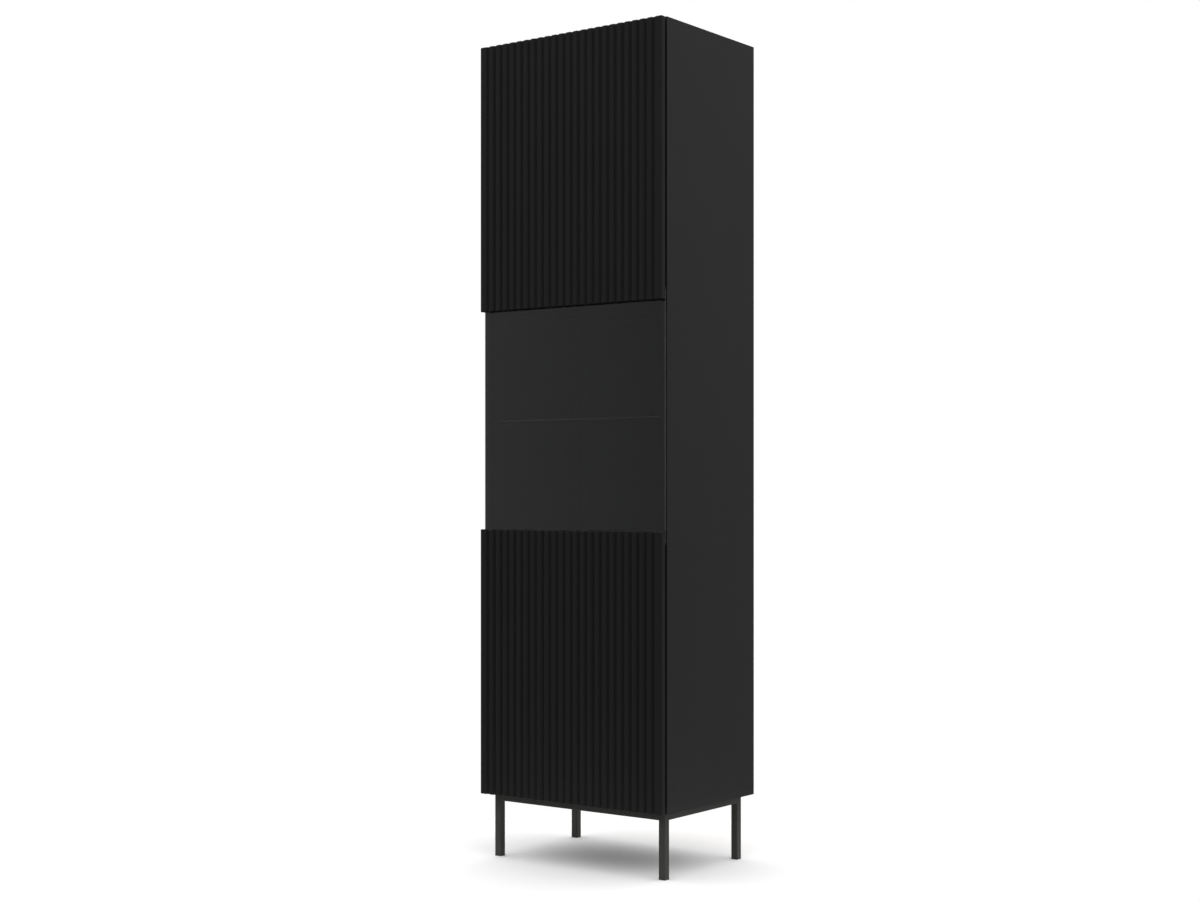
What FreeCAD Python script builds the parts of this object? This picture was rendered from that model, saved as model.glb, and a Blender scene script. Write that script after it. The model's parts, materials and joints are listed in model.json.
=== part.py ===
import FreeCAD, Part
import os
import Sketcher

# Tall storage cabinet on a steel leg frame, in millimetres.
# X runs across the width, the front faces -Y, Z is up and Z = 0 is the floor.
# The carcass is made of flat boards. One tall door covers it: a ribbed panel above, a ribbed
# panel below and a sheet of smoked glass that laps behind both and shows between them.
# The door hangs on four knuckle hinges at its left edge and is held by two push latches.

V = FreeCAD.Vector

SIZES = [
    ("cab_width", 544, "overall width, sides and door alike"),
    ("cab_depth", 400, "overall depth, from the door's face to the back"),
    ("cab_height", 2000, "overall height"),
    ("leg_height", 156, "floor to the underside of the carcass"),
    ("board", 16, "thickness of every board and of the ribbed panels"),
    ("back_thick", 3, "thickness of the hardboard back"),
    ("rabbet", 8, "width of the rabbet that takes the back"),
    ("glass_thick", 4, "thickness of the door's glass"),
    ("door_gap", 2, "air between the glass and the carcass"),
    ("door_reveal", 1, "how far the door stops short of the carcass above and below"),
    ("panel_height", 653, "height of each ribbed panel"),
    ("glass_lap", 30, "how far the glass goes up behind each ribbed panel"),
    ("glass_side", 0.5, "how far the glass stops short of the door's side edges"),
    ("groove_count", 24, "grooves in a ribbed panel"),
    ("groove_pitch", 21.6, "distance from groove to groove"),
    ("groove_width", 9, "width of a groove at the face"),
    ("groove_floor", 6, "width of a groove at its floor"),
    ("groove_depth", 4, "depth of a groove"),
    ("divider_drop", 8, "how far the fixed dividers hide behind the ribbed panels"),
    ("divider_back", 10, "how far the dividers stand back from the carcass front"),
    ("shelf_back", 18, "how far the board shelves stand back from the carcass front"),
    ("glass_shelf_back", 33, "how far the glass shelf stands back from the carcass front"),
    ("glass_shelf_thick", 5, "thickness of the glass shelf"),
    ("shelf_play", 1.5, "air at each end of a loose shelf"),
    ("pin_radius", 2.45, "radius of a shelf pin"),
    ("pin_hole_radius", 2.5, "radius of a shelf pin hole"),
    ("pin_hole_depth", 10, "depth of a shelf pin hole"),
    ("pin_pitch", 32, "distance from pin hole to pin hole"),
    ("pin_rows", 5, "pin holes in a column at each shelf"),
    ("pin_front", 70, "front pin column behind the carcass front"),
    ("pin_rear", 328, "rear pin column behind the carcass front"),
    ("joint_front", 60, "front cam fitting behind the carcass front"),
    ("joint_rear", 318, "rear cam fitting behind the carcass front"),
    ("dowel_offset", 32, "distance from a cam fitting to its dowel"),
    ("cam_inset", 34, "cam centre from the end of its board"),
    ("cam_bore_radius", 7.5, "radius of a cam's bore"),
    ("cam_bore_depth", 12.7, "depth of a cam's bore"),
    ("bolt_bore_radius", 4, "radius of the bore that a cam bolt lies in"),
    ("bolt_radius", 2.5, "radius of a cam bolt's shank"),
    ("bolt_grip", 11, "length of a cam bolt inside the side panel"),
    ("dowel_radius", 4, "radius of a dowel"),
    ("dowel_side", 12, "length of a dowel inside the side panel"),
    ("dowel_board", 18, "length of a dowel inside the horizontal board"),
    ("confirmat_radius", 3.5, "radius of the long screws under the side panels"),
    ("confirmat_length", 48, "length of those screws"),
    ("tube", 18, "outer size of the square steel tube"),
    ("tube_wall", 1.5, "wall of the square steel tube"),
    ("tube_corner", 1.5, "outer corner radius of the square steel tube"),
    ("frame_side", 16, "leg frame inset from the carcass sides"),
    ("frame_front", 15, "leg frame inset from the carcass front"),
    ("frame_rear", 33, "leg frame inset from the carcass back"),
    ("glide_height", 2.5, "plastic glide under each leg"),
    ("tab_thick", 2, "thickness of the tabs that the frame is screwed up through"),
    ("tab_reach", 24, "how far a tab reaches in from its rail"),
    ("tab_width", 30, "length of a tab along its rail"),
    ("tab_spot", 110, "tabs in front of and behind the middle"),
    ("hinge_axis_in", 2.2, "hinge axis from the door's left edge"),
    ("hinge_axis_back", 3, "hinge axis behind the ribbed panel's rear face"),
    ("hinge_height", 64, "height of a hinge"),
    ("hinge_leaf", 1.2, "thickness of a hinge leaf"),
    ("knuckle_radius", 2.15, "outer radius of a hinge knuckle"),
    ("knuckle_bore", 0.95, "bore of a hinge knuckle"),
    ("knuckle_length", 20, "length of each outer knuckle"),
    ("knuckle_gap", 0.3, "air between two knuckles"),
    ("hinge_pin_radius", 0.9, "radius of a hinge pin"),
    ("latch_level", 220, "push latches from the ribbed panels' edges at the glass"),
    ("latch_block", 16, "width and height of a latch housing"),
    ("latch_length", 60, "length of a latch housing"),
    ("latch_recess", 6, "latch housing behind the carcass front"),
    ("plunger_radius", 4, "radius of a latch plunger"),
    ("plunger_play", 0.1, "running clearance round a latch plunger"),
    ("strike_thick", 1, "thickness of a latch strike"),
    ("strike_air", 0.2, "air between plunger and strike"),
    ("retainer_thick", 1.5, "thickness of the strips that hold the glass"),
    ("retainer_length", 500, "length of the strips that hold the glass"),
    ("bracket_spot", 150, "wall brackets left and right of the middle"),
    ("bracket_leg", 40, "length of each leg of a wall bracket"),
    ("bracket_width", 20, "width of a wall bracket"),
    ("bracket_thick", 2, "thickness of a wall bracket"),
    ("wall_hole_radius", 3, "radius of the wall-fixing holes"),
    ("wall_hole_drop", 26, "wall-fixing holes below the top panel"),
    ("screw_hole_radius", 1.9, "radius of the small screw holes in metal parts"),
]

doc = FreeCAD.newDocument("cabinet")
sheet = doc.addObject("Spreadsheet::Sheet", "Dim")
for row, (alias, number, note) in enumerate(SIZES, start=1):
    sheet.set("A%d" % row, note)
    sheet.set("B%d" % row, str(number))
    sheet.setAlias("B%d" % row, alias)
doc.recompute()

# Planes and levels of the cabinet, as expressions on the sheet.
HALF_WIDTH = "(Dim.cab_width / 2)"
HALF_INSIDE = "(Dim.cab_width / 2 - Dim.board)"
INSIDE = "(Dim.cab_width - 2 * Dim.board)"
DOOR_FACE = "(-Dim.cab_depth / 2)"
PANEL_BACK = "(-Dim.cab_depth / 2 + Dim.board)"
CARCASS_FRONT = "(-Dim.cab_depth / 2 + Dim.board + Dim.glass_thick + Dim.door_gap)"
CARCASS_DEPTH = "(Dim.cab_depth - Dim.board - Dim.glass_thick - Dim.door_gap)"
REAR = "(Dim.cab_depth / 2)"
BACK_FACE = "(Dim.cab_depth / 2 - Dim.back_thick)"
SIDE_FOOT = "(Dim.leg_height + Dim.board)"
TOP_UNDER = "(Dim.cab_height - Dim.board)"
GLASS_SIGHT_LOW = "(Dim.leg_height + Dim.door_reveal + Dim.panel_height)"
GLASS_SIGHT_HIGH = "(Dim.cab_height - Dim.door_reveal - Dim.panel_height)"
DIVIDER_LOW = "(%s - Dim.divider_drop - Dim.board)" % GLASS_SIGHT_LOW
DIVIDER_HIGH = "(%s + Dim.divider_drop)" % GLASS_SIGHT_HIGH
SHELF_LOW = "((%s + %s) / 2 - Dim.board / 2)" % (SIDE_FOOT, DIVIDER_LOW)
SHELF_GLASS = "((%s + Dim.board + %s) / 2 - Dim.glass_shelf_thick / 2)" % (DIVIDER_LOW, DIVIDER_HIGH)
SHELF_HIGH = "((%s + Dim.board + %s) / 2 - Dim.board / 2)" % (DIVIDER_HIGH, TOP_UNDER)
HINGE_X = "(-Dim.cab_width / 2 + Dim.hinge_axis_in)"
HINGE_Y = "(%s + Dim.hinge_axis_back)" % PANEL_BACK
LATCH_X = "(%s - Dim.latch_block / 2)" % HALF_INSIDE
LATCH_Y = "(%s + Dim.latch_recess)" % CARCASS_FRONT
LATCH_LOW = "(%s - Dim.latch_level)" % GLASS_SIGHT_LOW
LATCH_HIGH = "(%s + Dim.latch_level)" % GLASS_SIGHT_HIGH
FRAME_LEFT = "(-Dim.cab_width / 2 + Dim.frame_side)"
FRAME_RIGHT = "(Dim.cab_width / 2 - Dim.frame_side - Dim.tube)"
FRAME_FRONT = "(%s + Dim.frame_front)" % CARCASS_FRONT
FRAME_REAR = "(%s - Dim.frame_rear - Dim.tube)" % REAR
RING_UNDER = "(Dim.leg_height - Dim.tube)"

HINGE_EDGE = 100      # hinge centre from the top and bottom edges of a ribbed panel
HINGE_STANDS = {
    1: "(Dim.leg_height + Dim.door_reveal + %d - Dim.hinge_height / 2)" % HINGE_EDGE,
    2: "(%s - %d - Dim.hinge_height / 2)" % (GLASS_SIGHT_LOW, HINGE_EDGE),
    3: "(%s + %d - Dim.hinge_height / 2)" % (GLASS_SIGHT_HIGH, HINGE_EDGE),
    4: "(Dim.cab_height - Dim.door_reveal - %d - Dim.hinge_height / 2)" % HINGE_EDGE,
}
LATCHES = {"upper": LATCH_HIGH, "lower": LATCH_LOW}

subparts = []


def calc(text):
    """The number that an expression on the sheet gives."""
    return float(sheet.evalExpression(text))


def place(obj, x, y, z):
    """Bind the place of an object to the sheet."""
    for axis, text in zip("xyz", (x, y, z)):
        obj.setExpression("Placement.Base." + axis, text)


def new_body(label, x="0", y="0", z="0", turn=None):
    """An empty body whose own origin stands at x, y, z."""
    body = doc.addObject("PartDesign::Body", label)
    body.Label = label
    if turn is not None:
        body.Placement = FreeCAD.Placement(V(), turn)
    place(body, x, y, z)
    return body


def keep(obj):
    """List an object as one of the cabinet's sub-parts."""
    subparts.append(obj)
    return obj


def new_sketch(body, role, name, lift="0"):
    """A sketch on one of the body's origin planes, moved along the plane's normal by lift."""
    plane = [item for item in body.Origin.OriginFeatures if item.Role == role][0]
    sketch = body.newObject("Sketcher::SketchObject", name)
    sketch.AttachmentSupport = [(plane, "")]
    sketch.MapMode = "FlatFace"
    sketch.setExpression("AttachmentOffset.Base.z", lift)
    return sketch


def pin_point(sketch, edge, point, across, up):
    """Dimension a point from the sketch's origin, each way by an expression."""
    for kind, text in (("DistanceX", across), ("DistanceY", up)):
        index = sketch.addConstraint(Sketcher.Constraint(kind, -1, 1, edge, point, calc(text)))
        sketch.setExpression("Constraints[%d]" % index, text)


def polygon(sketch, corners):
    """A closed outline through corners, each a pair of expressions."""
    spots = [V(calc(across), calc(up), 0) for across, up in corners]
    first = sketch.GeometryCount
    count = len(corners)
    for index in range(count):
        sketch.addGeometry(Part.LineSegment(spots[index], spots[(index + 1) % count]), False)
    for index in range(count):
        following = first + (index + 1) % count
        sketch.addConstraint(Sketcher.Constraint("Coincident", first + index, 2, following, 1))
    for index, (across, up) in enumerate(corners):
        pin_point(sketch, first + index, 1, across, up)


def rectangle(sketch, left, low, right, high):
    """An upright rectangle between two corners."""
    polygon(sketch, [(left, low), (right, low), (right, high), (left, high)])


def circle(sketch, across, up, radius):
    """A circle with a bound centre and radius."""
    centre = V(calc(across), calc(up), 0)
    edge = sketch.addGeometry(Part.Circle(centre, V(0, 0, 1), calc(radius)), False)
    pin_point(sketch, edge, 3, across, up)
    index = sketch.addConstraint(Sketcher.Constraint("Radius", edge, calc(radius)))
    sketch.setExpression("Constraints[%d]" % index, radius)


def pad(body, sketch, length, backwards=False, middle=False):
    """Raise a sketch along its normal, or against it."""
    feature = body.newObject("PartDesign::Pad", sketch.Name + "_pad")
    feature.Profile = sketch
    feature.Reversed = backwards
    feature.Midplane = middle
    feature.setExpression("Length", length)
    doc.recompute()
    return feature


def pocket(body, sketch, depth=None, backwards=False):
    """Cut a sketch into the body against its normal, or along it; no depth cuts right through."""
    before = body.Shape.Volume
    feature = body.newObject("PartDesign::Pocket", sketch.Name + "_pocket")
    feature.Profile = sketch
    feature.Reversed = backwards
    if depth is None:
        feature.Type = "ThroughAll"
    else:
        feature.setExpression("Length", depth)
    doc.recompute()
    if body.Shape.Volume >= before:
        raise RuntimeError("%s cuts nothing" % feature.Name)
    return feature


def repeat(body, feature, sketch, axis, extent, count):
    """Repeat a feature along one axis of its sketch, over a whole extent."""
    pattern = body.newObject("PartDesign::LinearPattern", feature.Name + "_row")
    pattern.Originals = [feature]
    pattern.Direction = (sketch, [axis])
    pattern.setExpression("Length", extent)
    pattern.setExpression("Occurrences", count)
    body.Tip = pattern
    doc.recompute()
    return pattern


def board(label, x, y, z, width, depth, thickness):
    """A plain board whose own origin is its left, front, lower corner."""
    body = new_body(label, x, y, z)
    outline = new_sketch(body, "XY_Plane", label + "_outline")
    rectangle(outline, "0", "0", width, depth)
    pad(body, outline, thickness)
    return body


def turned(label, profile, x="0", y="0", z="0", turn=None):
    """A turned piece: a half profile of radius and height, spun about the body's own Z."""
    body = new_body(label, x, y, z, turn)
    outline = new_sketch(body, "XZ_Plane", label + "_profile")
    polygon(outline, profile)
    spin = body.newObject("PartDesign::Revolution", label + "_spin")
    spin.Profile = outline
    spin.ReferenceAxis = (outline, ["V_Axis"])
    spin.Angle = 360
    doc.recompute()
    return body


def towards(x, y, z):
    """The rotation that turns the local Z axis to a direction."""
    return FreeCAD.Rotation(V(0, 0, 1), V(x, y, z))


def group(label, master, spots):
    """Copies of one small piece as separate solids; a spot is x, y, z and a rotation."""
    copies = []
    for x, y, z, turn in spots:
        copy = master.Shape.copy()
        copy.Placement = FreeCAD.Placement(V(x, y, z), turn)
        copies.append(copy)
    feature = doc.addObject("Part::Feature", label)
    feature.Label = label
    feature.Shape = Part.makeCompound(copies)
    return keep(feature)


# ---------------------------------------------------------------- carcass

def joint_levels():
    """Mid-height of each board that is cammed between the sides, above the sides' feet."""
    boards = (DIVIDER_LOW, DIVIDER_HIGH, TOP_UNDER)
    return ["%s + Dim.board / 2 - %s" % (level, SIDE_FOOT) for level in boards]


def joint_places():
    """Cam fittings and dowels: how far each stands behind the carcass front."""
    cams = ("Dim.joint_front", "Dim.joint_rear")
    dowels = ("(Dim.joint_front + Dim.dowel_offset)", "(Dim.joint_rear - Dim.dowel_offset)")
    return cams, dowels


def side_panel(name, outer_left):
    """A side: rabbeted for the back, drilled for shelf pins, cam bolts, dowels and feet screws."""
    left = name == "left"
    body = board("side_panel_" + name, outer_left, CARCASS_FRONT, SIDE_FOOT,
                 "Dim.board", CARCASS_DEPTH, "Dim.cab_height - %s" % SIDE_FOOT)
    inner_face = "Dim.board" if left else "0"

    rabbet = new_sketch(body, "XY_Plane", name + "_rabbet")
    near, far = ("Dim.board - Dim.rabbet", "Dim.board") if left else ("0", "Dim.rabbet")
    rectangle(rabbet, near, CARCASS_DEPTH + " - Dim.back_thick", far, CARCASS_DEPTH)
    pocket(body, rabbet, "Dim.cab_height - Dim.rabbet - %s" % SIDE_FOOT, backwards=True)

    pins = new_sketch(body, "YZ_Plane", name + "_pin_holes", inner_face)
    lowest = "Dim.pin_pitch * (Dim.pin_rows - 1) / 2"
    for level in (SHELF_LOW, SHELF_GLASS, SHELF_HIGH):
        for column in ("Dim.pin_front", "Dim.pin_rear"):
            up = "%s - Dim.pin_radius - %s - %s" % (level, SIDE_FOOT, lowest)
            circle(pins, column, up, "Dim.pin_hole_radius")
    holes = pocket(body, pins, "Dim.pin_hole_depth", backwards=not left)
    repeat(body, holes, pins, "V_Axis", "Dim.pin_pitch * (Dim.pin_rows - 1)", "Dim.pin_rows")

    cams, dowels = joint_places()
    drillings = (("bolt", cams, "Dim.bolt_radius", "Dim.bolt_grip"),
                 ("dowel", dowels, "Dim.dowel_radius", "Dim.dowel_side"))
    for kind, columns, radius, depth in drillings:
        sketch = new_sketch(body, "YZ_Plane", "%s_%s_holes" % (name, kind), inner_face)
        for level in joint_levels():
            for column in columns:
                circle(sketch, column, level, radius)
        pocket(body, sketch, depth, backwards=not left)

    feet = new_sketch(body, "XY_Plane", name + "_foot_holes")
    for column in cams:
        circle(feet, "Dim.board / 2", column, "Dim.confirmat_radius")
    pocket(body, feet, "Dim.confirmat_length - Dim.board", backwards=True)
    return keep(body)


def bottom_panel():
    """The board under both sides, rabbeted for the back and countersunk for the long screws."""
    body = board("bottom_panel", "-" + HALF_WIDTH, CARCASS_FRONT, "Dim.leg_height",
                 "Dim.cab_width", CARCASS_DEPTH, "Dim.board")
    rabbet = new_sketch(body, "XY_Plane", "bottom_rabbet", "Dim.board")
    rectangle(rabbet, "Dim.board - Dim.rabbet", CARCASS_DEPTH + " - Dim.back_thick",
              "Dim.cab_width - Dim.board + Dim.rabbet", CARCASS_DEPTH)
    pocket(body, rabbet, "Dim.rabbet")
    holes = new_sketch(body, "XY_Plane", "bottom_screw_holes")
    for across in ("Dim.board / 2", "Dim.cab_width - Dim.board / 2"):
        for column in joint_places()[0]:
            circle(holes, across, column, "Dim.confirmat_radius")
    pocket(body, holes, backwards=True)
    return keep(body)


def cammed_board(label, z, setback, depth, rabbeted=False):
    """A board between the sides, bored at both ends for cams, cam bolts and dowels."""
    body = board(label, "-" + HALF_INSIDE, "%s + %s" % (CARCASS_FRONT, setback), z,
                 INSIDE, depth, "Dim.board")
    if rabbeted:
        rabbet = new_sketch(body, "XY_Plane", label + "_rabbet")
        rectangle(rabbet, "0", depth + " - Dim.back_thick", INSIDE, depth)
        pocket(body, rabbet, "Dim.rabbet", backwards=True)
    cams, dowels = joint_places()
    bores = new_sketch(body, "XY_Plane", label + "_cam_bores")
    for across in ("Dim.cam_inset", INSIDE + " - Dim.cam_inset"):
        for column in cams:
            circle(bores, across, "%s - %s" % (column, setback), "Dim.cam_bore_radius")
    pocket(body, bores, "Dim.cam_bore_depth", backwards=True)
    drillings = (("bolt", cams, "Dim.bolt_bore_radius", "Dim.cam_inset"),
                 ("dowel", dowels, "Dim.dowel_radius", "Dim.dowel_board"))
    for end, lift in (("left", "0"), ("right", INSIDE)):
        for kind, columns, radius, length in drillings:
            sketch = new_sketch(body, "YZ_Plane", "%s_%s_%s_bores" % (label, end, kind), lift)
            for column in columns:
                circle(sketch, "%s - %s" % (column, setback), "Dim.board / 2", radius)
            pocket(body, sketch, length, backwards=end == "left")
    return keep(body)


def back_panel(name, low, high, holed=False):
    """Half of the hardboard back, let into the rabbets."""
    label = "back_panel_" + name
    reach = "(%s + Dim.rabbet)" % HALF_INSIDE
    body = new_body(label, "0", REAR, low)
    outline = new_sketch(body, "XZ_Plane", label + "_outline")
    rectangle(outline, "-" + reach, "0", reach, "%s - %s" % (high, low))
    pad(body, outline, "Dim.back_thick")
    if holed:
        holes = new_sketch(body, "XZ_Plane", label + "_wall_holes")
        for across in ("-Dim.bracket_spot", "Dim.bracket_spot"):
            up = "%s - Dim.wall_hole_drop - %s" % (TOP_UNDER, low)
            circle(holes, across, up, "Dim.wall_hole_radius")
        pocket(body, holes, backwards=True)
    return keep(body)


def loose_shelf(label, z, setback, thickness):
    """A shelf that lies on pins, with a little air at the ends and the back."""
    return keep(board(label, "-%s + Dim.shelf_play" % HALF_INSIDE,
                      "%s + %s" % (CARCASS_FRONT, setback), z,
                      INSIDE + " - 2 * Dim.shelf_play",
                      "%s - Dim.back_thick - %s - Dim.shelf_play" % (CARCASS_DEPTH, setback),
                      thickness))


def carcass():
    """The boards of the cabinet."""
    side_panel("left", "-" + HALF_WIDTH)
    side_panel("right", HALF_INSIDE)
    bottom_panel()
    cammed_board("top_panel", TOP_UNDER, "0", CARCASS_DEPTH, rabbeted=True)
    divider_depth = "(%s - Dim.back_thick - Dim.divider_back)" % CARCASS_DEPTH
    cammed_board("divider_lower", DIVIDER_LOW, "Dim.divider_back", divider_depth)
    cammed_board("divider_upper", DIVIDER_HIGH, "Dim.divider_back", divider_depth)
    seam = "(%s + Dim.board / 2)" % DIVIDER_LOW
    back_panel("lower", "(%s - Dim.rabbet)" % SIDE_FOOT, seam)
    back_panel("upper", seam, "(%s + Dim.rabbet)" % TOP_UNDER, holed=True)
    loose_shelf("shelf_lower", SHELF_LOW, "Dim.shelf_back", "Dim.board")
    loose_shelf("shelf_upper", SHELF_HIGH, "Dim.shelf_back", "Dim.board")
    loose_shelf("glass_shelf", SHELF_GLASS, "Dim.glass_shelf_back", "Dim.glass_shelf_thick")


# ---------------------------------------------------------------- fittings

PIN_SHANK = 8               # length of a shelf pin inside its hole
PIN_PEG = 9                 # length of a shelf pin outside it
PIN_COLLAR = "4"            # radius of its collar
PIN_BREAK = 0.4             # broken edge at each of its ends


def shelf_pins():
    """Turned pins: a shank in the side, a collar against it and a peg under the shelf."""
    collar = "Dim.shelf_play - 0.3"
    radius = "Dim.pin_radius"
    blunt = "Dim.pin_radius - %g" % PIN_BREAK
    profile = [("0", "-%g" % PIN_SHANK), (blunt, "-%g" % PIN_SHANK),
               (radius, "-%g" % (PIN_SHANK - PIN_BREAK)), (radius, "0"), (PIN_COLLAR, "0"),
               (PIN_COLLAR, collar), (radius, collar), (radius, "%g" % (PIN_PEG - PIN_BREAK)),
               (blunt, "%g" % PIN_PEG), ("0", "%g" % PIN_PEG)]
    master = turned("shelf_pin", profile)
    inside = calc(HALF_INSIDE)
    front = calc(CARCASS_FRONT)
    columns = (front + calc("Dim.pin_front"), front + calc("Dim.pin_rear"))
    shelves = {"lower": SHELF_LOW, "display": SHELF_GLASS, "upper": SHELF_HIGH}
    for name, level in shelves.items():
        z = calc(level + " - Dim.pin_radius")
        spots = [(side * inside, y, z, towards(-side, 0, 0)) for side in (-1, 1) for y in columns]
        group("shelf_pins_" + name, master, spots)


CAM_PLAY = 0.1              # air round a cam in its bore
CAM_MOUTH_LOW = "4"         # the mouth starts this far above the cam's slotted face
CAM_MOUTH_HALF = 4          # half the width of the mouth
CAM_SLOT_LONG = 4.5         # half the length of the screwdriver slot
CAM_SLOT_WIDE = 0.8         # half its width
CAM_SLOT_DEEP = "2"
BOLT_COLLAR = "3.8"         # radius of a cam bolt's collar
BOLT_COLLAR_LENGTH = "1.5"
BOLT_NECK = "2.2"           # radius of its neck
BOLT_HEAD = "3.6"           # radius of its head
BOLT_HEAD_LENGTH = 4
DOWEL_PLAY = 0.5            # air past each end of a dowel
DOWEL_CHAMFER = 1


def cam_lock():
    """A cam: a short drum with a mouth for the bolt's head and a slot for the screwdriver."""
    body = new_body("cam_lock")
    drum = new_sketch(body, "XY_Plane", "cam_drum")
    circle(drum, "0", "0", "Dim.cam_bore_radius - %g" % CAM_PLAY)
    pad(body, drum, "Dim.cam_bore_depth - %g" % (2 * CAM_PLAY))
    mouth = new_sketch(body, "XZ_Plane", "cam_mouth", "%g" % CAM_MOUTH_HALF)
    rectangle(mouth, "-Dim.cam_bore_radius - 0.5", CAM_MOUTH_LOW,
              "%g" % CAM_MOUTH_HALF, "Dim.cam_bore_depth - 0.7")
    pocket(body, mouth, "%g" % (2 * CAM_MOUTH_HALF))
    slot = new_sketch(body, "XY_Plane", "cam_slot")
    rectangle(slot, "-%g" % CAM_SLOT_LONG, "-%g" % CAM_SLOT_WIDE,
              "%g" % CAM_SLOT_LONG, "%g" % CAM_SLOT_WIDE)
    pocket(body, slot, CAM_SLOT_DEEP, backwards=True)
    return body


def joint_fittings():
    """Cams, cam bolts and dowels between the sides and the three boards."""
    head = "Dim.cam_inset - %g" % BOLT_HEAD_LENGTH
    bolt = turned("cam_bolt", [
        ("0", "-Dim.bolt_grip"), ("Dim.bolt_radius", "-Dim.bolt_grip"), ("Dim.bolt_radius", "0"),
        (BOLT_COLLAR, "0"), (BOLT_COLLAR, BOLT_COLLAR_LENGTH), (BOLT_NECK, BOLT_COLLAR_LENGTH),
        (BOLT_NECK, head + " - 1"), (BOLT_HEAD, head), (BOLT_HEAD, "Dim.cam_inset"),
        ("0", "Dim.cam_inset")])
    inner = "-Dim.dowel_side + %g" % DOWEL_PLAY
    outer = "Dim.dowel_board - %g" % DOWEL_PLAY
    blunt = "Dim.dowel_radius - %g" % DOWEL_CHAMFER
    dowel = turned("dowel", [
        ("0", inner), (blunt, inner), ("Dim.dowel_radius", "%s + %g" % (inner, DOWEL_CHAMFER)),
        ("Dim.dowel_radius", "%s - %g" % (outer, DOWEL_CHAMFER)), (blunt, outer), ("0", outer)])
    cams, dowels = joint_places()
    front = calc(CARCASS_FRONT)
    inside = calc(HALF_INSIDE)
    cam_x = inside - calc("Dim.cam_inset")
    lock_spots = []
    bolt_spots = []
    dowel_spots = []
    for level in (DIVIDER_LOW, DIVIDER_HIGH, TOP_UNDER):
        under = calc(level)
        middle = under + calc("Dim.board / 2")
        for side in (-1, 1):
            inward = towards(-side, 0, 0)
            facing = FreeCAD.Rotation(V(0, 0, 1), 0 if side < 0 else 180)
            for column in cams:
                y = front + calc(column)
                lock_spots.append((side * cam_x, y, under, facing))
                bolt_spots.append((side * inside, y, middle, inward))
            for column in dowels:
                dowel_spots.append((side * inside, front + calc(column), middle, inward))
    group("cam_locks", cam_lock(), lock_spots)
    group("cam_bolts", bolt, bolt_spots)
    group("dowels", dowel, dowel_spots)


# Head radius, head height, shank radius and length of each kind of screw.
SCREWS = {
    "bracket_screw": (3.6, 1.8, 1.9, 15),
    "frame_screw": (4, 2.2, 2.1, 15),
    "retainer_screw": (3.2, 1.4, 1.75, 10),
    "hinge_side_screw": (3.2, 1.4, 1.75, 13),
    "hinge_door_screw": (3.2, 1.4, 1.75, 10),
    "latch_screw": (3.4, 1.8, 1.75, 14),
}
SCREW_CROWN = 0.75          # flat top of a screw's head, as a share of its radius
RECESS_LONG = 0.55          # half the length of an arm of the cross, as a share of it
RECESS_WIDE = 0.15          # half the width of an arm, as a share of it
RECESS_DEEP = 0.6           # depth of the cross, as a share of the head's height


def screw(label):
    """A cross-recessed screw: its head stands on Z = 0 and its shank points down."""
    head_radius, head_height, shank_radius, length = SCREWS[label]
    body = turned(label, [
        ("0", "-%g" % length), ("%g" % shank_radius, "-%g" % (length - 2 * shank_radius)),
        ("%g" % shank_radius, "0"), ("%g" % head_radius, "0"),
        ("%g" % (SCREW_CROWN * head_radius), "%g" % head_height), ("0", "%g" % head_height)])
    arm = RECESS_LONG * head_radius
    half = RECESS_WIDE * head_radius
    for name, across, up in (("long", arm, half), ("cross", half, arm)):
        sketch = new_sketch(body, "XY_Plane", "%s_%s_recess" % (label, name), "%g" % head_height)
        rectangle(sketch, "-%g" % across, "-%g" % up, "%g" % across, "%g" % up)
        pocket(body, sketch, "%g" % (RECESS_DEEP * head_height))
    return body


SOCKET_HALF = 2             # half the width of the square socket in a long screw
SOCKET_DEEP = "4"
LONG_SCREW_POINT = 3        # length of its point


def bottom_screws():
    """Long screws up through the bottom panel into the sides, heads let in flush."""
    head = "Dim.confirmat_radius"
    master = turned("bottom_screw", [
        ("0", "-Dim.confirmat_length"),
        (head, "-Dim.confirmat_length + %g" % LONG_SCREW_POINT),
        (head, "0"), ("0", "0")])
    socket = new_sketch(master, "XY_Plane", "bottom_screw_socket")
    half = "%g" % SOCKET_HALF
    rectangle(socket, "-" + half, "-" + half, half, half)
    pocket(master, socket, SOCKET_DEEP)
    spots = []
    for side in (-1, 1):
        for column in joint_places()[0]:
            spots.append((side * calc(HALF_WIDTH + " - Dim.board / 2"),
                          calc(CARCASS_FRONT) + calc(column),
                          calc("Dim.leg_height"), towards(0, 0, -1)))
    group("bottom_screws", master, spots)


NAIL_LENGTH = "-18"
NAIL_POINT = "-16"          # where a nail's point begins
NAIL_SHANK = "0.7"          # radius of a nail
NAIL_HEAD = "1.6"           # radius of its head
NAIL_HEAD_UNDER = "-0.5"
NAILS_UP = 14               # nails up each side
NAIL_MARGIN = 30            # the first and last of them from the ends
NAILS_ACROSS = (-210, -105, 0, 105, 210)


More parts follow.
